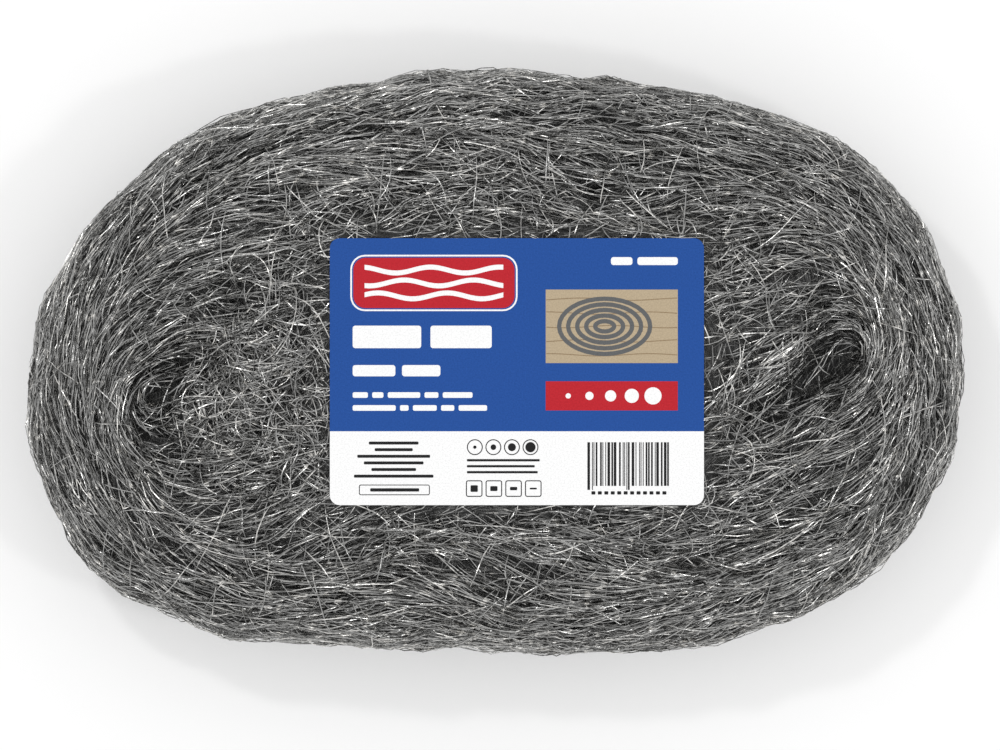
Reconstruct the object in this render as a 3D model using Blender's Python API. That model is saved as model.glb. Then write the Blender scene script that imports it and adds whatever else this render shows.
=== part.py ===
"""Steel wool bundle: a flat oval coil of coarse steel wool, lying on its face, with a printed label on top.

Units are metres. The bundle lies on Z = 0 with its turns seen from +Z. X is its length, Y its width.
The origin is under the middle of the bundle, on the surface that it lies on.
"""

import bmesh
import bpy
from math import acos, atan2, cos, exp, hypot, pi, radians, sin, tau

# Driving dimensions
COIL_LENGTH = 0.2820
COIL_WIDTH = 0.1760
COIL_THICKNESS = 0.0600
TURN_WIDTH = 0.0360
LABEL_LENGTH = 0.1130
LABEL_WIDTH = 0.0806
LABEL_THICKNESS = 0.0004
LABEL_CORNER = 0.0030
LABEL_CENTRE = (0.0063, -0.0029)
TOUCH_GAP = 0.0003

# The oval outline: a superellipse with a few shallow lobes, each (waves round the coil, depth, phase)
OUTLINE_POWER = 2.5
OUTLINE_LOBES = (
    (1, 0.016, radians(-90)),
    (2, 0.009, radians(85)),
    (3, 0.022, radians(-90)),
    (4, 0.012, radians(105)),
    (8, 0.005, radians(-25)),
    (10, 0.004, radians(-40)),
    (23, 0.004, radians(60)),
)

# The coil's section: flat faces that turn over into rounded sides
SECTION_POWER = 3.0
REST_PATCH = 0.66
SEAT_MARGIN = 0.0030
SEAT_BLEND = 0.0180

# The relief of the top face
GROOVE_DEPTH = 0.0026
GROOVE_WIDTH = 0.0050
GROOVE_SPAN = 2.4
HOLLOWS = (
    # centre x, centre y, half length, half width, turn, depth
    (-0.0985, -0.0010, 0.0110, 0.0060, radians(40), 0.0120),
    (-0.1060, -0.0135, 0.0120, 0.0065, radians(98), 0.0150),
    (-0.0970, -0.0290, 0.0090, 0.0055, radians(-25), 0.0100),
    (-0.0770, 0.0150, 0.0140, 0.0055, radians(-23), 0.0060),
    (0.0920, -0.0070, 0.0150, 0.0060, radians(40), 0.0130),
    (0.1080, -0.0010, 0.0120, 0.0065, radians(85), 0.0120),
    (0.1020, 0.0240, 0.0180, 0.0060, radians(95), 0.0050),
    (-0.1080, 0.0380, 0.0100, 0.0050, radians(62), 0.0040),
    (-0.0230, -0.0560, 0.0220, 0.0055, radians(-14), 0.0045),
    (0.0310, 0.0550, 0.0120, 0.0050, radians(-10), 0.0035),
)
LUMP_DEPTH = 0.0014

# Fineness of the coil's mesh, with most of its rings on the uneven top face
SECTORS = 96
RINGS = 46
TOP_RINGS = 37
OUTLINE_STEPS = 720

WOOL_GREY = (0.30, 0.30, 0.29, 1.0)
LABEL_BLUE = (0.03, 0.09, 0.35, 1.0)


def clear_scene():
    """Start from an empty scene."""
    for thing in list(bpy.data.objects):
        bpy.data.objects.remove(thing, do_unlink=True)


def finish(name, colour, roughness, metallic):
    """A Principled material with one colour, roughness and metallic value."""
    material = bpy.data.materials.new(name)
    material.use_nodes = True
    shader = material.node_tree.nodes["Principled BSDF"]
    shader.inputs["Base Color"].default_value = colour
    shader.inputs["Roughness"].default_value = roughness
    shader.inputs["Metallic"].default_value = metallic
    return material


def place(name, bm, material):
    """Write a bmesh to a named object in the scene."""
    mesh = bpy.data.meshes.new(name)
    bm.to_mesh(mesh)
    bm.free()
    mesh.materials.append(material)
    piece = bpy.data.objects.new(name, mesh)
    bpy.context.scene.collection.objects.link(piece)
    return piece


def smoothstep(low, high, value):
    """0 below low, 1 above high, with a soft S between."""
    t = min(max((value - low) / (high - low), 0.0), 1.0)
    return t * t * (3.0 - 2.0 * t)


def outline_radius(angle):
    """How far the oval's edge lies from its centre in this direction."""
    along = abs(cos(angle)) / (COIL_LENGTH / 2)
    across = abs(sin(angle)) / (COIL_WIDTH / 2)
    oval = (along**OUTLINE_POWER + across**OUTLINE_POWER) ** (-1 / OUTLINE_POWER)
    return oval * (1 + sum(depth * cos(waves * angle - phase) for waves, depth, phase in OUTLINE_LOBES))


def outline_middle():
    """The middle of the lobed oval's own box, which the origin is put under."""
    angles = [tau * step / OUTLINE_STEPS for step in range(OUTLINE_STEPS)]
    across = [outline_radius(angle) * cos(angle) for angle in angles]
    up = [outline_radius(angle) * sin(angle) for angle in angles]
    return (max(across) + min(across)) / 2, (max(up) + min(up)) / 2


def label_distance(x, y):
    """How far a point lies outside the label's edges, 0 within them."""
    beyond_x = max(abs(x - LABEL_CENTRE[0]) - LABEL_LENGTH / 2, 0.0)
    beyond_y = max(abs(y - LABEL_CENTRE[1]) - LABEL_WIDTH / 2, 0.0)
    return hypot(beyond_x, beyond_y)


def hollow_depth(x, y):
    """The hollows, mostly at the two ends, where the innermost turns fold round."""
    depth = 0.0
    for centre_x, centre_y, half_length, half_width, turn, deepest in HOLLOWS:
        along = (x - centre_x) * cos(turn) + (y - centre_y) * sin(turn)
        across = (y - centre_y) * cos(turn) - (x - centre_x) * sin(turn)
        depth += deepest * exp(-((along / half_length) ** 2) - (across / half_width) ** 2)
    return depth


def groove_depth(angle, inset):
    """The spiral groove between one turn of the ribbon and the next, by the distance in from the edge."""
    turn = inset / TURN_WIDTH - (angle % tau) / tau
    if turn > GROOVE_SPAN - 1 or inset < TURN_WIDTH / 3:
        return 0.0
    off = (turn - round(turn)) * TURN_WIDTH
    return GROOVE_DEPTH * exp(-((off / GROOVE_WIDTH) ** 2))


def lumps(x, y):
    """The slow unevenness of a hand-wound bundle."""
    first = sin(x * 95 + 0.7) * sin(y * 120 + 1.9)
    second = sin(x * 160 + y * 70 + 2.3) * sin(y * 190 - x * 50 + 0.4)
    return LUMP_DEPTH * (first + 0.6 * second)


def top_relief(x, y, angle, inset):
    """What the top face adds to its plain crown."""
    clear_of_label = smoothstep(SEAT_MARGIN, SEAT_BLEND, label_distance(x, y))
    return clear_of_label * (lumps(x, y) - groove_depth(angle, inset) - hollow_depth(x, y))


def section_rise(reach):
    """How far the section stands off its middle at this share of the radius, as a share of the half thickness."""
    return max(1 - reach**SECTION_POWER, 0.0) ** (1 / SECTION_POWER)


def ring_reach(ring):
    """How far out a ring lies, as a share of the radius. The rings are closest together at the edge."""
    if ring < TOP_RINGS:
        inward = 1 - ring / TOP_RINGS
    else:
        inward = (ring - TOP_RINGS) / (RINGS - TOP_RINGS)
    return 1 - inward**2


def coil_point(point, middle):
    """Where a corner of the unit sphere lies on the coil, whose outline has this middle."""
    angle = atan2(point.y, point.x)
    radius = outline_radius(angle)
    ring = round(acos(min(max(point.z, -1.0), 1.0)) / pi * RINGS)
    reach = ring_reach(ring)
    rise = section_rise(reach)
    x = reach * radius * cos(angle) - middle[0]
    y = reach * radius * sin(angle) - middle[1]
    if ring > TOP_RINGS:
        return x, y, COIL_THICKNESS / 2 * max(1 - rise / section_rise(REST_PATCH), 0.0)
    seat = COIL_THICKNESS - LABEL_THICKNESS - TOUCH_GAP
    crown = COIL_THICKNESS / 2 * (1 + rise) + rise * top_relief(x, y, angle, radius * (1 - reach))
    flat = 1 - smoothstep(SEAT_MARGIN, SEAT_BLEND, label_distance(x, y))
    return x, y, crown + (seat - crown) * flat


def wool_coil():
    """The wool itself: the ribbon's turns pressed together into one oval solid."""
    bm = bmesh.new()
    bmesh.ops.create_uvsphere(bm, u_segments=SECTORS, v_segments=RINGS, radius=1.0)
    middle = outline_middle()
    for vert in bm.verts:
        vert.co = coil_point(vert.co, middle)
    bmesh.ops.recalc_face_normals(bm, faces=bm.faces)
    for face in bm.faces:
        face.smooth = True
    return place("wool_coil", bm, finish("steel_wool", WOOL_GREY, 0.45, 1.0))


def label():
    """The printed label: a thin card with rounded corners, flat on the wool."""
    bm = bmesh.new()
    bmesh.ops.create_cube(bm, size=1.0)
    bmesh.ops.scale(bm, vec=(LABEL_LENGTH, LABEL_WIDTH, LABEL_THICKNESS), verts=bm.verts)
    upright = [edge for edge in bm.edges if abs(edge.verts[0].co.z - edge.verts[1].co.z) > LABEL_THICKNESS / 2]
    bmesh.ops.bevel(
        bm, geom=upright, offset=LABEL_CORNER, segments=6, profile=0.5, affect="EDGES", material=-1
    )
    middle = (*LABEL_CENTRE, COIL_THICKNESS - LABEL_THICKNESS / 2)
    bmesh.ops.translate(bm, vec=middle, verts=bm.verts)
    return place("label", bm, finish("label_face", LABEL_BLUE, 0.45, 0.0))


clear_scene()
wool_coil()
label()
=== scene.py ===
"""The looks of a steel wool bundle: coarse steel strands wound into a flat oval coil, with a printed label on top.

Everything is in metres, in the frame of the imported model: the bundle lies on Z = 0 and its label faces +Z.
"""

from math import radians, tau

import bmesh
import bpy
import numpy as np
from mathutils import Matrix, Vector, noise
from mathutils.bvhtree import BVHTree


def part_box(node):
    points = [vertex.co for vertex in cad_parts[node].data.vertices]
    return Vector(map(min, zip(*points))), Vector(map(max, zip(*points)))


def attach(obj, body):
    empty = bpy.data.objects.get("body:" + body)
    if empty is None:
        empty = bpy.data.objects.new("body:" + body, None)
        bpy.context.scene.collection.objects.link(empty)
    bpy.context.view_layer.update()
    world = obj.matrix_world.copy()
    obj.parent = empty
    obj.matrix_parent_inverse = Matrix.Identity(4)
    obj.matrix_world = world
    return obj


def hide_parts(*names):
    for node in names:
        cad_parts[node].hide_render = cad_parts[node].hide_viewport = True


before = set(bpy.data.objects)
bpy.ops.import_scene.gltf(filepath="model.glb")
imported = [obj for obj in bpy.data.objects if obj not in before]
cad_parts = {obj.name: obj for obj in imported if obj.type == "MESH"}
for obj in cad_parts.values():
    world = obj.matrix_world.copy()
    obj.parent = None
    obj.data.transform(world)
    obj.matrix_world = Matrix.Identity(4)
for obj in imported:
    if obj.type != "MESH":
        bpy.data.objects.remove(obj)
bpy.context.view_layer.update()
MM = 0.001


# The imported wool
# The bundle is one long ribbon of shaved steel, wound flat on its edge into an oval of about two and a half turns.
# Under its loose outer strands the ribbon is pressed into one dense, fibrous mass, drawn in dark greys as painted shade
# for the deep gaps between the strands.
PACKED_BELOW = 3.0 * MM
PACKED_BELOW_LABEL = 0.4 * MM
PACKED_OFF_FLOOR = 0.8 * MM
PACKED_LUMP = 0.5 * MM
PACKED_LUMP_SIZE = 5.0 * MM
LABEL_SKIRT = 7.0 * MM
SKIN_BULGE = 1.1 * MM
SKIN_BULGE_SIZE = 14.0 * MM
SECTION_POWER = 3.0
HOLLOW_DEPTHS = (3.0 * MM, 10.0 * MM)
EDGE_BINS = 120
LAY_CELLS = 12.0
LAY_PER_MM = 2.4

coil_low, coil_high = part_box("wool_coil")
label_low, label_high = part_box("label")
half_height = coil_high.z / 2


def ramp(low, high, value):
    """0 below low and 1 above high, for whole arrays."""
    share = np.clip((value - low) / (high - low), 0.0, 1.0)
    return share * share * (3.0 - 2.0 * share)


def beyond_label(x, y):
    """How far outside the label's edges each point lies."""
    beyond_x = np.maximum(np.maximum(label_low.x - x, x - label_high.x), 0.0)
    beyond_y = np.maximum(np.maximum(label_low.y - y, y - label_high.y), 0.0)
    return np.hypot(beyond_x, beyond_y)


def coil_skin():
    """The coil's outer surface as one smooth, even mesh, from its CAD solid."""
    bm = bmesh.new()
    bm.from_mesh(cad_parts["wool_coil"].data)
    bmesh.ops.remove_doubles(bm, verts=bm.verts, dist=0.001 * MM)
    bmesh.ops.join_triangles(
        bm, faces=bm.faces, angle_face_threshold=radians(40), angle_shape_threshold=radians(60)
    )
    rough = bpy.data.meshes.new("coil_skin")
    bm.to_mesh(rough)
    bm.free()
    form = bpy.data.objects.new("coil_skin", rough)
    bpy.context.scene.collection.objects.link(form)
    smooth = form.modifiers.new("smooth", "SUBSURF")
    smooth.levels = 1
    smooth.render_levels = 1
    skin = bpy.data.meshes.new_from_object(form.evaluated_get(bpy.context.evaluated_depsgraph_get()))
    bpy.data.objects.remove(form)
    return skin


def read(items, name, width=3):
    """One value of every vertex or face as an array."""
    found = np.empty(len(items) * width, np.float32)
    items.foreach_get(name, found)
    return found.reshape(-1, width).astype(float)


def edge_radius(points):
    """The coil's outline in plan: how far its edge is from the middle, by direction."""
    bins = ((np.arctan2(points[:, 1], points[:, 0]) / tau) % 1.0 * EDGE_BINS).astype(int) % EDGE_BINS
    reach = np.zeros(EDGE_BINS)
    np.maximum.at(reach, bins, np.hypot(points[:, 0], points[:, 1]))
    return (np.roll(reach, 1) + 2 * reach + np.roll(reach, -1)) / 4


def bulges(points):
    """How far tufts make the skin swell or sink, except under the label and where the bundle rests."""
    uneven = np.array([noise.noise(Vector(point) / SKIN_BULGE_SIZE) for point in points])
    free = ramp(0.0, LABEL_SKIRT, beyond_label(points[:, 0], points[:, 1])) * ramp(0.0, LABEL_SKIRT, points[:, 2])
    return 2 * SKIN_BULGE * uneven * free


skin_mesh = coil_skin()
skin_points = read(skin_mesh.vertices, "co")
skin_normals = read(skin_mesh.vertices, "normal")
skin_points += skin_normals * bulges(skin_points)[:, None]
skin_mesh.vertices.foreach_set("co", skin_points.astype(np.float32).ravel())
skin_mesh.update()
skin_normals = read(skin_mesh.vertices, "normal")
edge_reach = edge_radius(skin_points)
edge_turns = (np.arange(EDGE_BINS) + 0.5) / EDGE_BINS * tau


def edge_share(x, y):
    """0 at the middle of the oval and 1 at its edge."""
    return np.hypot(x, y) / np.interp(np.arctan2(y, x) % tau, edge_turns, edge_reach, period=tau)


def sunken(points):
    """0 on the crown of the coil and 1 down in its hollows."""
    share = np.minimum(edge_share(points[..., 0], points[..., 1]), 1.0)
    crown = half_height * (1 + (1 - share**SECTION_POWER) ** (1 / SECTION_POWER))
    inside = ramp(half_height / 2, half_height, points[..., 2]) * ramp(1.0, 0.9, share)
    return ramp(*HOLLOW_DEPTHS, crown - points[..., 2]) * inside


def pressed_in(points, normals):
    """The skin moved in to where the dense wool begins, with a few lumps."""
    depth = PACKED_BELOW_LABEL + (PACKED_BELOW - PACKED_BELOW_LABEL) * ramp(
        0.0, LABEL_SKIRT, beyond_label(points[:, 0], points[:, 1])
    )
    depth = np.where(points[:, 2] < half_height / 3, np.minimum(depth, PACKED_OFF_FLOOR), depth)
    lumps = np.array([noise.noise(Vector(point) / PACKED_LUMP_SIZE) for point in points])
    pressed = points - normals * (depth + PACKED_LUMP * np.abs(lumps))[:, None]
    pressed[:, 2] = np.maximum(pressed[:, 2], PACKED_OFF_FLOOR)
    return pressed


def lay_vectors(points):
    """For each point a place that changes slowly along the ribbon and fast across it, which the grain follows."""
    x, y, z = points.T
    turn = np.arctan2(y, x)
    inset = np.hypot(x, y) * (1 / np.maximum(edge_share(x, y), 0.01) - 1)
    across = coil_high.z - z + np.where(z > half_height, -inset, inset)
    return np.column_stack((LAY_CELLS * np.cos(turn), LAY_CELLS * np.sin(turn), across / MM * LAY_PER_MM))


def shader_of(name, metallic, roughness):
    """A new material, its nodes, its links and its Principled shader."""
    material = bpy.data.materials.new(name)
    material.use_nodes = True
    tree = material.node_tree
    shader = tree.nodes["Principled BSDF"]
    shader.inputs["Metallic"].default_value = metallic
    shader.inputs["Roughness"].default_value = roughness
    return material, tree.nodes, tree.links, shader


def add_noise(nodes, links, vector, scale, detail=2.0):
    """A Noise texture on these coordinates."""
    texture = nodes.new("ShaderNodeTexNoise")
    texture.inputs["Scale"].default_value = scale
    texture.inputs["Detail"].default_value = detail
    links.new(vector, texture.inputs["Vector"])
    return texture.outputs["Fac"]


def add_range(nodes, links, value, low, high, to_low=0.0, to_high=1.0):
    """A Map Range from low..high to to_low..to_high."""
    mapped = nodes.new("ShaderNodeMapRange")
    links.new(value, mapped.inputs["Value"])
    mapped.inputs["From Min"].default_value = low
    mapped.inputs["From Max"].default_value = high
    mapped.inputs["To Min"].default_value = to_low
    mapped.inputs["To Max"].default_value = to_high
    return mapped.outputs["Result"]


def add_math(nodes, links, kind, first, second):
    """A Math node on a value and a value or number."""
    node = nodes.new("ShaderNodeMath")
    node.operation = kind
    links.new(first, node.inputs[0])
    if isinstance(second, (int, float)):
        node.inputs[1].default_value = second
    else:
        links.new(second, node.inputs[1])
    return node.outputs["Value"]


def add_ramp(nodes, links, value, stops):
    """A Color Ramp with these (place, grey or colour) stops."""
    node = nodes.new("ShaderNodeValToRGB")
    links.new(value, node.inputs["Fac"])
    elements = node.color_ramp.elements
    while len(elements) < len(stops):
        elements.new(1.0)
    for element, (place, colour) in zip(elements, stops):
        element.position = place
        element.color = (*colour, 1.0)
    return node.outputs["Color"]


def add_bump(nodes, links, height, distance, strength, shader):
    """A bump of this height into the shader."""
    bump = nodes.new("ShaderNodeBump")
    bump.inputs["Distance"].default_value = distance
    bump.inputs["Strength"].default_value = strength
    links.new(height, bump.inputs["Height"])
    links.new(bump.outputs["Normal"], shader.inputs["Normal"])


def add_turned(nodes, links, coordinates, turn, along, across):
    """Coordinates drawn out along one direction in plan."""
    mapping = nodes.new("ShaderNodeMapping")
    mapping.vector_type = "TEXTURE"
    mapping.inputs["Rotation"].default_value = (0.0, 0.0, turn)
    mapping.inputs["Scale"].default_value = (along, across, across)
    links.new(coordinates, mapping.inputs["Vector"])
    return mapping.outputs["Vector"]


def packed_wool():
    """Steel with finer strands drawn on it, most along the ribbon and some across, in dark greys as painted shade."""
    material, nodes, links, shader = shader_of("packed_wool", 0.8, 0.5)
    lay = nodes.new("ShaderNodeAttribute")
    lay.attribute_name = "lay"
    place = nodes.new("ShaderNodeTexCoord").outputs["Object"]
    fibres = add_range(nodes, links, add_noise(nodes, links, lay.outputs["Vector"], 1.0), 0.47, 0.68)
    for turn in (radians(28), radians(97), radians(151)):
        crossing = add_noise(nodes, links, add_turned(nodes, links, place, turn, 6 * MM, 0.4 * MM), 1.0)
        fibres = add_math(nodes, links, "MAXIMUM", fibres, add_range(nodes, links, crossing, 0.60, 0.76))
    tufts = add_noise(nodes, links, place, 160.0, 3.0)
    shade = add_math(nodes, links, "MULTIPLY", fibres, add_range(nodes, links, tufts, 0.3, 0.7, 0.4, 1.0))
    # Painted shade: the packed wool is darker down in the coil's hollows.
    sunk = nodes.new("ShaderNodeAttribute")
    sunk.attribute_name = "sunk"
    shade = add_math(nodes, links, "MULTIPLY", shade, add_range(nodes, links, sunk.outputs["Fac"], 0.0, 1.0, 1.0, 0.6))
    # The dark greys of this ramp are painted shade for the gaps deep between the loose strands.
    colour = add_ramp(nodes, links, shade, ((0.0, (0.03, 0.03, 0.03)), (1.0, (0.36, 0.36, 0.354))))
    links.new(colour, shader.inputs["Base Color"])
    links.new(add_range(nodes, links, tufts, 0.3, 0.7, 0.38, 0.6), shader.inputs["Roughness"])
    add_bump(nodes, links, fibres, 0.3 * MM, 1.0, shader)
    return material


def add_piece(name, mesh, material):
    """A finished mesh as a piece of the bundle, with its material and what the frame needs to know."""
    mesh.materials.clear()
    mesh.materials.append(material)
    piece = bpy.data.objects.new(name, mesh)
    bpy.context.scene.collection.objects.link(piece)
    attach(piece, "root")
    return piece


packed_mesh = skin_mesh.copy()
packed_points = pressed_in(skin_points, skin_normals)
packed_mesh.vertices.foreach_set("co", packed_points.astype(np.float32).ravel())
packed_mesh.attributes.new("lay", "FLOAT_VECTOR", "POINT").data.foreach_set(
    "vector", lay_vectors(skin_points).astype(np.float32).ravel()
)
# The sunk attribute marks the hollows, where the wool gets painted shade.
packed_mesh.attributes.new("sunk", "FLOAT", "POINT").data.foreach_set(
    "value", sunken(skin_points).astype(np.float32)
)
packed_mesh.shade_smooth()
packed = add_piece("packed_wool", packed_mesh, packed_wool())
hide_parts("wool_coil")


# How the strands lie
# Strands run with the ribbon: round the oval near its edge, then round the two ends of the inner turns, where the ribbon
# folds back. In a few places the ribbon is twisted over and its strands cut across.
LEFT_END = np.array((-0.104, -0.012))
RIGHT_END = np.array((0.112, 0.002))
OUTER_SHARE = (0.62, 0.95)
TURN_WIDTH = 36 * MM
TURN_LEAN = radians(9)
TWISTS = (
    # centre x, centre y, radius, direction, strength
    (0.016, 0.050, 0.016, radians(-40), 1.4),
    (-0.004, -0.076, 0.020, radians(-36), 1.0),
    (0.024, -0.054, 0.014, radians(-30), 1.0),
    (-0.066, 0.014, 0.014, radians(5), 1.0),
    (-0.059, -0.042, 0.016, radians(42), 1.8),
    (-0.045, -0.057, 0.014, radians(14), 1.4),
    (-0.077, -0.034, 0.013, radians(12), 1.4),
    (0.074, 0.028, 0.018, radians(16), 1.8),
    (0.082, -0.006, 0.026, radians(42), 2.2),
    (0.088, -0.046, 0.018, radians(14), 1.4),
    (-0.110, 0.040, 0.012, radians(50), 0.8),
)


def outward_in_plan(x, y):
    """The direction across the strands: away from the line between the ends inside, straight to the edge outside."""
    step = 1.0 * MM
    rim = np.column_stack(
        (
            edge_share(x + step, y) - edge_share(x - step, y),
            edge_share(x, y + step) - edge_share(x, y - step),
        )
    )
    between = RIGHT_END - LEFT_END
    spots = np.column_stack((x, y))
    share = np.clip((spots - LEFT_END) @ between / (between @ between), 0.0, 1.0)
    inner = spots - LEFT_END - share[:, None] * between
    rim /= np.maximum(np.linalg.norm(rim, axis=1), 1e-9)[:, None]
    inner /= np.maximum(np.linalg.norm(inner, axis=1), 1e-9)[:, None]
    outer = ramp(*OUTER_SHARE, edge_share(x, y))[:, None]
    return outer * rim + (1 - outer) * inner


def strand_angle(x, y):
    """Which way the strands run in plan, as an angle."""
    across = outward_in_plan(x, y)
    along = np.arctan2(across[:, 0], -across[:, 1])
    inset = np.hypot(x, y) * (1 / np.maximum(edge_share(x, y), 0.01) - 1)
    along = along + TURN_LEAN * np.sin(tau * inset / TURN_WIDTH)
    doubled = np.column_stack((np.cos(2 * along), np.sin(2 * along)))
    for centre_x, centre_y, radius, direction, strength in TWISTS:
        near = strength * np.exp(-((x - centre_x) ** 2 + (y - centre_y) ** 2) / radius**2)
        doubled += near[:, None] * np.array((np.cos(2 * direction), np.sin(2 * direction)))
    return np.arctan2(doubled[:, 1], doubled[:, 0]) / 2


dice = np.random.default_rng(20)
skin_mesh.calc_loop_triangles()
skin_triangles = np.empty(len(skin_mesh.loop_triangles) * 3, np.int32)
skin_mesh.loop_triangles.foreach_get("vertices", skin_triangles)
skin_triangles = skin_triangles.reshape(-1, 3)
skin_tree = BVHTree.FromPolygons(skin_points.tolist(), skin_triangles.tolist())


def unit(vectors):
    """The vectors at length 1."""
    return vectors / np.maximum(np.linalg.norm(vectors, axis=-1, keepdims=True), 1e-12)


def settle(points):
    """Each point moved to the nearest place on the skin, with the outward normal there."""
    spots = np.empty_like(points)
    outward = np.empty_like(points)
    for i, point in enumerate(points):
        spots[i], outward[i] = skin_tree.find_nearest(point)[:2]
    return spots, outward


def walk(starts, steps, stride, bends, follow):
    """Paths over the skin. They follow the ribbon, or go their own way, and bend aside by these angles."""
    spots, outward = settle(starts)
    paths, normals = [spots], [outward]
    angle = strand_angle(spots[:, 0], spots[:, 1]) + dice.choice((0.0, tau / 2), len(spots))
    heading = np.column_stack((np.cos(angle), np.sin(angle), np.zeros(len(angle))))
    if not follow:
        heading = turned(unit(heading), outward, bends[:, 0])
    for step in range(steps):
        if follow:
            angle = strand_angle(spots[:, 0], spots[:, 1])
            ribbon = np.column_stack((np.cos(angle), np.sin(angle), np.zeros(len(angle))))
            ribbon *= np.where((ribbon * heading).sum(1) < 0, -1.0, 1.0)[:, None]
            heading = ribbon
        level = unit(heading - (heading * outward).sum(1, keepdims=True) * outward)
        going = turned(level, outward, bends[:, step + 1])
        if not follow:
            heading = going
        spots, outward = settle(spots + stride[:, None] * going)
        paths.append(spots)
        normals.append(outward)
    return np.stack(paths, 1), np.stack(normals, 1)


def turned(directions, axes, angles):
    """The directions turned about the axes, which are square to them."""
    return directions * np.cos(angles)[:, None] + np.cross(axes, directions) * np.sin(angles)[:, None]


# The loose strands
# Coarse strands about a third of a millimetre across, shaved from mild steel bar and crimped by the cutting. They lie in
# locks of a few strands each, which dive in and out of the mat, with single strands crossing them every way.
STRAND_RADIUS = 0.16 * MM
FLOOR_GAP = 0.15 * MM
LABEL_GAP = 0.35 * MM
LABEL_SLOPE = 0.4
INNER_SHARE = 0.66
TANGLE = (-0.076, -0.010)
TANGLE_RADIUS = 26.0 * MM
WALK_STEPS = 12
# The depth at which a strand's painted shade is darkest.
DEEPEST = 2.8 * MM

corners = skin_points[skin_triangles]
skin_crosses = np.cross(corners[:, 1] - corners[:, 0], corners[:, 2] - corners[:, 0])
skin_areas = np.linalg.norm(skin_crosses, axis=1) / 2
skin_middles = corners.mean(1)
skin_facing = unit(skin_crosses)[:, 2]
middle_share = edge_share(skin_middles[:, 0], skin_middles[:, 1])
on_top = (skin_facing > 0.35) & (skin_middles[:, 2] > half_height)
under_label = (
    (np.abs(skin_middles[:, 0] - (label_low.x + label_high.x) / 2) < (label_high.x - label_low.x) / 2 - 6 * MM)
    & (np.abs(skin_middles[:, 1] - (label_low.y + label_high.y) / 2) < (label_high.y - label_low.y) / 2 - 6 * MM)
)


def seeds(count, where):
    """Places spread evenly over the part of the skin that is asked for."""
    chances = skin_areas * where
    chosen = dice.choice(len(chances), count, p=chances / chances.sum())
    first, second = dice.random((2, count, 1))
    first, second = np.where(first + second > 1, 1 - first, first), np.where(first + second > 1, 1 - second, second)
    a, b, c = corners[chosen, 0], corners[chosen, 1], corners[chosen, 2]
    return a + first * (b - a) + second * (c - a)


def waves(rows, columns, size, low, high):
    """A gentle random wave for each row, with from low to high waves along it."""
    along = np.linspace(0.0, 1.0, columns)
    count = dice.uniform(low, high, (rows, 1))
    return size * np.sin(tau * (along * count + dice.random((rows, 1))))


def kept_clear(points):
    """The strands held off the floor and under the label."""
    ceiling = label_low.z - LABEL_GAP + LABEL_SLOPE * beyond_label(points[..., 0], points[..., 1])
    points[..., 2] = np.clip(points[..., 2], FLOOR_GAP + STRAND_RADIUS, ceiling)
    return points


def along_paths(paths, normals, members, points, spread, depth, weave, dive):
    """Strands beside each other along every path, each with its own start, end, drift, wave and depth."""
    rows = len(paths) * members
    lock = np.repeat(np.arange(len(paths)), members)
    side = unit(np.cross(normals, np.gradient(paths, axis=1)))
    start = dice.uniform(0.0, 0.3, (rows, 1))
    end = dice.uniform(0.7, 1.0, (rows, 1))
    share = np.linspace(0.0, 1.0, points)
    place = (start + (end - start) * share) * (paths.shape[1] - 1)
    before = np.minimum(place.astype(int), paths.shape[1] - 2)
    part = (place - before)[..., None]

    def mixed(values):
        return values[lock[:, None], before] * (1 - part) + values[lock[:, None], before + 1] * part

    drift = dice.normal(0.0, spread, (rows, 1)) + dice.normal(0.0, 1.6 * spread, (rows, 1)) * (share - 0.5)
    drift = drift + waves(rows, points, 0.35 * spread, 0.6, 2.2)
    rise = dice.uniform(*depth, (rows, 1)) + waves(rows, points, weave, 0.8, 2.5)
    rise = rise - dive * np.abs(2 * share - 1) ** 4
    outward = mixed(normals)
    # How far down in a hollow each point lies, for the strands' painted shade there.
    sunk = sunken(mixed(paths))
    return kept_clear(mixed(paths) + mixed(side) * drift[..., None] + outward * rise[..., None]), outward, rise, sunk


def locks(count, members, points, where, length, lean, meander, spread=0.9 * MM, depth=(-2.6 * MM, 0.1 * MM),
          weave=0.5 * MM, dive=1.6 * MM):
    """Locks of strands that follow the ribbon."""
    stride = dice.uniform(*length, count) / WALK_STEPS
    bends = dice.normal(0.0, lean, (count, 1)) + waves(count, WALK_STEPS + 1, meander, 0.5, 1.6)
    paths, normals = walk(seeds(count, where), WALK_STEPS, stride, bends, True)
    return along_paths(paths, normals, members, points, spread, depth, weave, dive)


def strays(count, points, where, length, curl, swerve, depth=(-1.8 * MM, 0.3 * MM), weave=0.3 * MM, dive=1.2 * MM):
    """Single strands that swerve off across the ribbon, curling one way or the other."""
    stride = dice.uniform(*length, count) / WALK_STEPS
    bends = dice.normal(0.0, curl, (count, 1)) * stride[:, None] + waves(count, WALK_STEPS + 1, 0.10, 0.8, 2.5)
    bends[:, 0] = dice.normal(0.0, swerve, count)
    paths, normals = walk(seeds(count, where), WALK_STEPS, stride, bends, False)
    return along_paths(paths, normals, 1, points, 0.05 * MM, depth, weave, dive)


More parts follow.
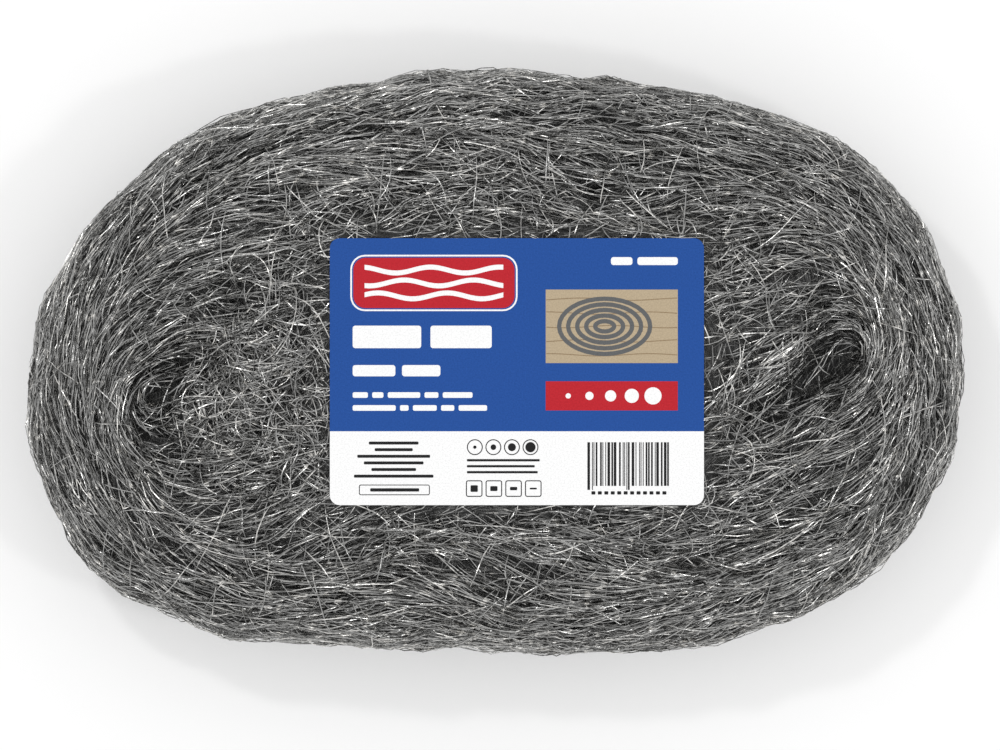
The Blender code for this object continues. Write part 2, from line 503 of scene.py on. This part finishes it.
def wire_blank(points):
    """One straight strand along X: a three-sided bar with a ring of corners at every whole X."""
    bm = bmesh.new()
    bmesh.ops.create_circle(bm, cap_ends=True, segments=3, radius=1.0)
    bmesh.ops.rotate(bm, verts=bm.verts, matrix=Matrix.Rotation(tau / 4, 3, "Y"))
    tip = list(bm.faces)
    for step in range(points - 1):
        grown = bmesh.ops.extrude_face_region(bm, geom=tip)["geom"]
        if step > 0:
            bmesh.ops.delete(bm, geom=tip, context="FACES_ONLY")
        moved = [part for part in grown if isinstance(part, bmesh.types.BMVert)]
        bmesh.ops.translate(bm, verts=moved, vec=(1.0, 0.0, 0.0))
        tip = [part for part in grown if isinstance(part, bmesh.types.BMFace)]
    bmesh.ops.recalc_face_normals(bm, faces=bm.faces)
    mesh = bpy.data.meshes.new("wire_blank")
    bm.to_mesh(mesh)
    bm.free()
    return mesh


def copied(mesh, count):
    """The mesh many times over, still as separate bodies."""
    form = bpy.data.objects.new("strand_copies", mesh)
    bpy.context.scene.collection.objects.link(form)
    array = form.modifiers.new("copies", "ARRAY")
    array.count = count
    array.use_relative_offset = False
    array.use_merge_vertices = False
    copies = bpy.data.meshes.new_from_object(form.evaluated_get(bpy.context.evaluated_depsgraph_get()))
    bpy.data.objects.remove(form)
    return copies


def bent_strands(paths, normals, rises, sunk):
    """A closed, sharp-edged wire along each path, thin at both ends and turning slowly about itself."""
    strands, points = paths.shape[:2]
    blank = wire_blank(points)
    at = read(blank.vertices, "co")
    ring = np.rint(at[:, 0]).astype(int)
    around = np.arctan2(at[:, 2], at[:, 1])
    taper = 0.35 + 0.65 * np.sin(np.linspace(0.08, 0.92, points) * tau / 2) ** 0.5
    along = unit(np.gradient(paths, axis=1))
    side = unit(np.cross(normals, along))
    up = np.cross(along, side)
    twist = dice.uniform(0.0, tau, (strands, 1)) + dice.normal(0.0, 2.0, (strands, 1)) * np.linspace(0, 1, points)
    angle = (twist[:, ring] + around)[..., None]
    radius = (STRAND_RADIUS * dice.uniform(0.7, 1.2, (strands, 1)) * taper)[:, ring][..., None]
    placed = paths[:, ring] + radius * (np.cos(angle) * side[:, ring] + np.sin(angle) * up[:, ring])
    mesh = copied(blank, strands)
    mesh.vertices.foreach_set("co", placed.astype(np.float32).ravel())
    mesh.update()
    # Each strand's own random grey, with painted shade where it lies deep in the mat and where it runs down into a
    # hollow.
    shade = 0.7 * dice.random((strands, 1)) + 0.3 * np.clip(1 + rises / DEEPEST, 0.0, 1.1) - 0.12 * sunk
    mark_strands(mesh, strands, points, ring, around, shade[:, ring])
    return mesh


def mark_strands(mesh, strands, points, ring, around, shade):
    """Give each strand its shade, a random grey with painted shade where it lies deep, and its own small place on the
    piece's map.
    """
    mesh.attributes.new("shade", "FLOAT", "POINT").data.foreach_set("value", shade.astype(np.float32).ravel())
    corners_of = np.empty(len(mesh.loops), np.int32)
    mesh.loops.foreach_get("vertex_index", corners_of)
    strand = corners_of // len(ring)
    lap = np.rint(around / (tau / 3)).astype(int)[corners_of % len(ring)] % 3
    starts = np.empty(len(mesh.polygons), np.int32)
    totals = np.empty(len(mesh.polygons), np.int32)
    mesh.polygons.foreach_get("loop_start", starts)
    mesh.polygons.foreach_get("loop_total", totals)
    face = np.repeat(np.arange(len(starts)), totals)
    widest = (np.maximum.reduceat(lap, starts) - np.minimum.reduceat(lap, starts))[face]
    lap = lap + 3 * ((widest == 2) & (lap == 0) & (totals[face] == 4))
    row = int(np.ceil(np.sqrt(strands)))
    u = (strand % row + 0.08 + 0.84 * ring[corners_of % len(ring)] / (points - 1)) / row
    v = (strand // row + 0.08 + 0.84 * lap / 3) / row
    mesh.uv_layers.new(name="OFBake").uv.foreach_set(
        "vector", np.column_stack((u, v)).astype(np.float32).ravel()
    )


def strand_steel():
    """Bright mild steel wire, each strand its own grey, with scraped, patchy sides and short painted glints."""
    material, nodes, links, shader = shader_of("strand_steel", 1.0, 0.35)
    shade = nodes.new("ShaderNodeAttribute")
    shade.attribute_name = "shade"
    place = nodes.new("ShaderNodeTexCoord").outputs["Object"]
    patches = add_range(nodes, links, add_noise(nodes, links, place, 900.0, 2.0), 0.35, 0.65, -0.15, 0.15)
    # Painted glints: short bright patches that lift the grey towards the top of the ramp.
    painted_glints = add_range(nodes, links, add_noise(nodes, links, place, 420.0, 0.0), 0.68, 0.72, 0.0, 0.5)
    level = add_math(nodes, links, "ADD", shade.outputs["Fac"], patches)
    level = add_math(nodes, links, "ADD", level, painted_glints)
    # The lowest greys carry the painted shade of deep strands; the top stop is reached by a few warm strands and by the
    # painted glints.
    greys = (
        (0.0, (0.06, 0.06, 0.059)),
        (0.35, (0.245, 0.244, 0.240)),
        (0.70, (0.400, 0.399, 0.391)),
        (0.92, (0.46, 0.458, 0.445)),
        (1.0, (0.76, 0.745, 0.715)),
    )
    links.new(add_ramp(nodes, links, level, greys), shader.inputs["Base Color"])
    scrapes = add_noise(nodes, links, place, 2400.0, 1.0)
    links.new(add_range(nodes, links, scrapes, 0.3, 0.7, 0.18, 0.42), shader.inputs["Roughness"])
    add_bump(nodes, links, scrapes, 0.08 * MM, 0.6, shader)
    return material


def add_strands(name, *parts):
    """One piece of loose strands from its locks and strays."""
    add_piece(name, bent_strands(*(np.concatenate(kind) for kind in zip(*parts))), steel)


steel = strand_steel()
kept_out = 1 - 0.5 * sunken(skin_middles)
outer = (on_top & ~under_label & (middle_share > INNER_SHARE)) * kept_out
inner = (on_top & ~under_label & (middle_share <= INNER_SHARE)) * kept_out
tangled = np.exp(-np.sum((skin_middles[:, :2] - TANGLE) ** 2, axis=1) / TANGLE_RADIUS**2)
side_wall = ~on_top & (skin_middles[:, 2] > 3 * MM)
underside = skin_middles[:, 2] <= 3 * MM
left_half = skin_middles[:, 0] < 0.0
front_half = skin_middles[:, 1] < 0.0

for half_name, half in (("left", left_half), ("right", ~left_half)):
    add_strands(
        f"outer_turn_strands_{half_name}",
        locks(880, 5, 7, outer * half, (20 * MM, 52 * MM), radians(8), radians(7)),
        strays(720, 7, outer * half, (10 * MM, 32 * MM), 20.0, radians(34)),
    )
add_strands(
    "inner_turn_strands",
    locks(470, 4, 9, inner * (1 - 0.7 * tangled), (20 * MM, 50 * MM), radians(12), radians(10)),
    strays(1050, 9, inner, (12 * MM, 38 * MM), 30.0, radians(38)),
    strays(960, 9, inner * (0.08 + tangled), (12 * MM, 36 * MM), 110.0, radians(90)),
)
for half_name, half in (("front", front_half), ("back", ~front_half)):
    add_strands(
        f"side_strands_{half_name}",
        locks(700, 5, 6, side_wall & half, (25 * MM, 55 * MM), radians(10), radians(6), depth=(-2.2 * MM, 0.7 * MM)),
        strays(760, 6, side_wall & half, (12 * MM, 32 * MM), 30.0, radians(40), depth=(-1.4 * MM, 0.9 * MM)),
    )
add_strands(
    "underside_strands",
    locks(80, 5, 6, underside, (35 * MM, 70 * MM), radians(12), radians(8)),
    strays(200, 6, underside, (18 * MM, 45 * MM), 25.0, radians(60)),
)
add_strands(
    "long_loose_strands",
    strays(170, 13, inner + outer, (25 * MM, 60 * MM), 14.0, radians(60), depth=(-0.4 * MM, 0.3 * MM), weave=0.15 * MM),
    strays(150, 13, inner * (0.3 + tangled), (16 * MM, 40 * MM), 130.0, radians(90), depth=(-0.3 * MM, 0.4 * MM)),
)


# The printed label
# A card with rounded corners, printed in four inks: a blue field with red panels over a bare white foot. Its marks are
# plain bars, rings and boxes. Each ink lies a few hundredths of a millimetre proud of the card or of the ink below it.
INK_SINK = 0.02 * MM
BLUE_INK = (0.008, 0.068, 0.305)
RED_INK = (0.480, 0.009, 0.019)
WHITE_INK = (0.90, 0.90, 0.90)
BLACK_INK = (0.006, 0.006, 0.007)
TAN_INK = (0.450, 0.360, 0.240)
BROWN_INK = (0.270, 0.190, 0.110)
GREY_INK = (0.110, 0.113, 0.116)


def flat_bar(bm, left, low, right, high, corner=0.0, top_only=False):
    """A flat bar in label millimetres, its corners rounded, and its face."""
    before = set(bm.faces)
    grown = bmesh.ops.create_grid(bm, x_segments=1, y_segments=1, size=0.5)["verts"]
    bmesh.ops.scale(bm, verts=grown, vec=(right - left, high - low, 1.0))
    bmesh.ops.translate(bm, verts=grown, vec=((left + right) / 2, (low + high) / 2, 0.0))
    if corner:
        rounded = [vert for vert in grown if vert.co.y > (low + high) / 2 or not top_only]
        bmesh.ops.bevel(
            bm, geom=rounded, offset=corner, segments=6, profile=0.5, affect="VERTICES", material=-1
        )
    return (set(bm.faces) - before).pop()


def flat_disc(bm, x, y, radius, stretch=1.0):
    """A flat disc or oval in label millimetres, and its face."""
    grown = bmesh.ops.create_circle(bm, cap_ends=True, segments=32, radius=radius)["verts"]
    bmesh.ops.scale(bm, verts=grown, vec=(stretch, 1.0, 1.0))
    bmesh.ops.translate(bm, verts=grown, vec=(x, y, 0.0))
    return grown[0].link_faces[0]


def hollowed(bm, face, width):
    """Leave only a rim of this width of a flat face."""
    bmesh.ops.inset_region(bm, faces=[face], thickness=width, use_even_offset=True, use_boundary=True)
    bmesh.ops.delete(bm, geom=[face], context="FACES_ONLY")


def flat_wave(bm, left, right, y, width, swing, count, phase):
    """A flat wavy line in label millimetres."""
    grown = bmesh.ops.create_grid(bm, x_segments=30, y_segments=1, size=0.5)["verts"]
    bmesh.ops.scale(bm, verts=grown, vec=(right - left, width, 1.0))
    bmesh.ops.translate(bm, verts=grown, vec=((left + right) / 2, y, 0.0))
    for vert in grown:
        vert.co.y += swing * np.sin(tau * count * (vert.co.x - left) / (right - left) + phase)


def add_print(name, bm, material, height):
    """Raise the flat shapes into a thin layer of ink on the card, and add it to the label."""
    raised = bmesh.ops.extrude_face_region(bm, geom=list(bm.faces))["geom"]
    tops = [part for part in raised if isinstance(part, bmesh.types.BMVert)]
    bmesh.ops.translate(bm, verts=tops, vec=(0.0, 0.0, (INK_SINK + height) / MM))
    bmesh.ops.recalc_face_normals(bm, faces=bm.faces)
    bmesh.ops.scale(bm, verts=bm.verts, vec=(MM, MM, MM))
    bmesh.ops.translate(bm, verts=bm.verts, vec=(label_low.x, label_low.y, label_high.z - INK_SINK))
    mesh = bpy.data.meshes.new(name)
    bm.to_mesh(mesh)
    bm.free()
    return add_piece(name, mesh, material)


def printed(name, colour, roughness):
    """Ink or bare card with the paper's fine grain in its colour, gloss and surface."""
    material, nodes, links, shader = shader_of(name, 0.0, roughness)
    shader.inputs["Specular IOR Level"].default_value = 0.2
    place = nodes.new("ShaderNodeTexCoord").outputs["Object"]
    grain = add_noise(nodes, links, place, 2200.0, 2.0)
    darker = tuple(0.86 * part for part in colour)
    lighter = tuple(min(1.10 * part + 0.004, 1.0) for part in colour)
    links.new(add_ramp(nodes, links, grain, ((0.25, darker), (0.75, lighter))), shader.inputs["Base Color"])
    links.new(add_range(nodes, links, grain, 0.3, 0.7, roughness - 0.08, roughness + 0.08), shader.inputs["Roughness"])
    add_bump(nodes, links, grain, 0.02 * MM, 0.5, shader)
    return material


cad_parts["label"].material_slots[0].material = printed("label_card", WHITE_INK, 0.6)

blue = bmesh.new()
flat_bar(blue, 0.0, 22.3, 113.0, 80.6, 3.0, top_only=True)
add_print("label_blue_print", blue, printed("blue_ink", BLUE_INK, 0.45), 0.02 * MM)

tan = bmesh.new()
flat_bar(tan, 65.2, 42.9, 105.1, 65.1)
add_print("label_tan_print", tan, printed("tan_ink", TAN_INK, 0.5), 0.04 * MM)

red = bmesh.new()
flat_bar(red, 7.1, 59.5, 55.8, 74.7, 3.6)
flat_bar(red, 65.2, 28.6, 105.1, 37.4)
add_print("label_red_print", red, printed("red_ink", RED_INK, 0.45), 0.04 * MM)

brown = bmesh.new()
for low_edge in (45.4, 49.6, 53.9, 58.0, 62.2):
    flat_wave(brown, 65.4, 104.9, low_edge, 0.28, 0.35, 1.3, low_edge)
add_print("label_brown_print", brown, printed("brown_ink", BROWN_INK, 0.5), 0.05 * MM)

grey = bmesh.new()
for turn_radius in (9.0, 7.3, 5.6, 3.9, 2.2):
    hollowed(grey, flat_disc(grey, 83.0, 54.0, turn_radius, 1.6), 1.3)
add_print("label_grey_print", grey, printed("grey_ink", GREY_INK, 0.5), 0.06 * MM)

white = bmesh.new()
hollowed(white, flat_bar(white, 6.2, 58.6, 56.7, 75.6, 4.4), 0.5)
for wave_y in (63.2, 67.1, 71.0):
    flat_wave(white, 10.5, 52.4, wave_y, 1.5, 0.9, 2.0, wave_y)
for left, low_edge, right, high_edge in (
    (6.9, 47.4, 27.6, 54.2),
    (30.4, 47.4, 48.9, 54.2),
    (6.9, 38.9, 19.8, 42.3),
    (21.8, 38.9, 33.4, 42.3),
    (84.9, 72.5, 91.4, 74.9),
    (92.9, 72.5, 105.1, 74.9),
):
    flat_bar(white, left, low_edge, right, high_edge, 0.8)
for low_edge, words in ((32.4, (4.6, 3.4, 9.8, 4.2, 9.0)), (28.5, (13.0, 2.6, 7.2, 4.0, 8.6))):
    left = 6.9
    for word in words:
        flat_bar(white, left, low_edge, left + word, low_edge + 1.7, 0.5)
        left += word + 1.3
for dot in range(5):
    flat_disc(white, 72.0 + 6.4 * dot, 33.0, 0.8 + 0.45 * dot)
add_print("label_white_print", white, printed("white_ink", WHITE_INK, 0.45), 0.06 * MM)

black = bmesh.new()
for row, length in enumerate((15.0, 11.5, 22.0, 18.0, 13.5, 24.0)):
    flat_bar(black, 19.3 - length / 2, 18.3 - 2.0 * row, 19.3 + length / 2, 19.2 - 2.0 * row, 0.3)
hollowed(black, flat_bar(black, 8.8, 3.0, 30.2, 6.2, 0.6), 0.25)
flat_bar(black, 12.2, 4.1, 27.0, 5.1, 0.3)
for badge in range(4):
    hollowed(black, flat_disc(black, 43.8 + 5.6 * badge, 17.5, 2.4), 0.3)
    flat_disc(black, 43.8 + 5.6 * badge, 17.5, 0.5 + 0.35 * badge)
for row, length in enumerate((22.0, 20.5, 21.4)):
    flat_bar(black, 41.4, 13.2 - 1.8 * row, 41.4 + length, 13.9 - 1.8 * row, 0.25)
for badge in range(4):
    left = 41.1 + 5.95 * badge
    hollowed(black, flat_bar(black, left, 2.5, left + 5.0, 7.5, 0.7), 0.3)
    flat_bar(black, left + 1.4, 4.0 + 0.25 * badge, left + 3.6, 6.0 - 0.25 * badge, 0.3)
left = 77.8
for number, gap in enumerate((3, 1, 2, 4, 1, 3, 2, 2, 1, 4, 3, 1, 2, 1, 3, 2, 4, 1, 2, 3, 1, 2, 3, 1, 3, 2, 1, 4, 2, 1)):
    width = (0.26, 0.52, 0.26, 0.78)[(number * 7 + gap) % 4]
    if left + width < 102.8:
        flat_bar(black, left, 4.6 if number in (0, 1, 13, 14, 28, 29) else 5.8, left + width, 19.0)
    left += width + 0.2 * gap
for digit in range(12):
    flat_bar(black, 79.0 + 1.95 * digit, 3.2, 80.2 + 1.95 * digit, 4.2, 0.2)
add_print("label_black_print", black, printed("black_ink", BLACK_INK, 0.45), 0.03 * MM)


# The staging
# A plain pale floor under soft studio light, seen from straight above.
def stage():
    bm = bmesh.new()
    bmesh.ops.create_grid(bm, x_segments=1, y_segments=1, size=6.0)
    mesh = bpy.data.meshes.new("floor")
    bm.to_mesh(mesh)
    bm.free()
    material, nodes, links, shader = shader_of("pale_floor", 0.0, 0.9)
    shader.inputs["Base Color"].default_value = (0.78, 0.78, 0.78, 1.0)
    shader.inputs["Emission Color"].default_value = (1.0, 1.0, 1.0, 1.0)
    shader.inputs["Emission Strength"].default_value = 0.20
    mesh.materials.append(material)
    floor = bpy.data.objects.new("floor", mesh)
    bpy.context.scene.collection.objects.link(floor)


def add_light(name, place, size, power):
    """A square soft light aimed at the bundle."""
    data = bpy.data.lights.new(name, "AREA")
    data.shape = "SQUARE"
    data.size = size
    data.energy = power
    light = bpy.data.objects.new(name, data)
    light.location = place
    light.rotation_euler = (-Vector(place)).to_track_quat("-Z", "Y").to_euler()
    bpy.context.scene.collection.objects.link(light)


stage()
add_light("key_light", (-0.5, 0.6, 1.3), 0.12, 3.0)
add_light("fill_light", (0.7, -0.3, 1.1), 0.12, 2.0)
world = bpy.data.worlds.new("studio")
world.use_nodes = True
world.node_tree.nodes["Background"].inputs["Color"].default_value = (1.0, 1.0, 1.0, 1.0)
world.node_tree.nodes["Background"].inputs["Strength"].default_value = 0.9
bpy.context.scene.world = world
bpy.context.scene.view_settings.view_transform = "Standard"

CAMERA_HEIGHT = 3.0
VIEW_WIDTH = 0.302
VIEW_CENTRE = (0.0012, -0.0039)
camera_data = bpy.data.cameras.new("camera")
camera_data.sensor_width = 36.0
camera_data.lens = 36.0 * (CAMERA_HEIGHT - coil_high.z) / VIEW_WIDTH
camera = bpy.data.objects.new("camera", camera_data)
camera.location = (*VIEW_CENTRE, CAMERA_HEIGHT)
bpy.context.scene.collection.objects.link(camera)
bpy.context.scene.camera = camera

bpy.context.view_layer.update()
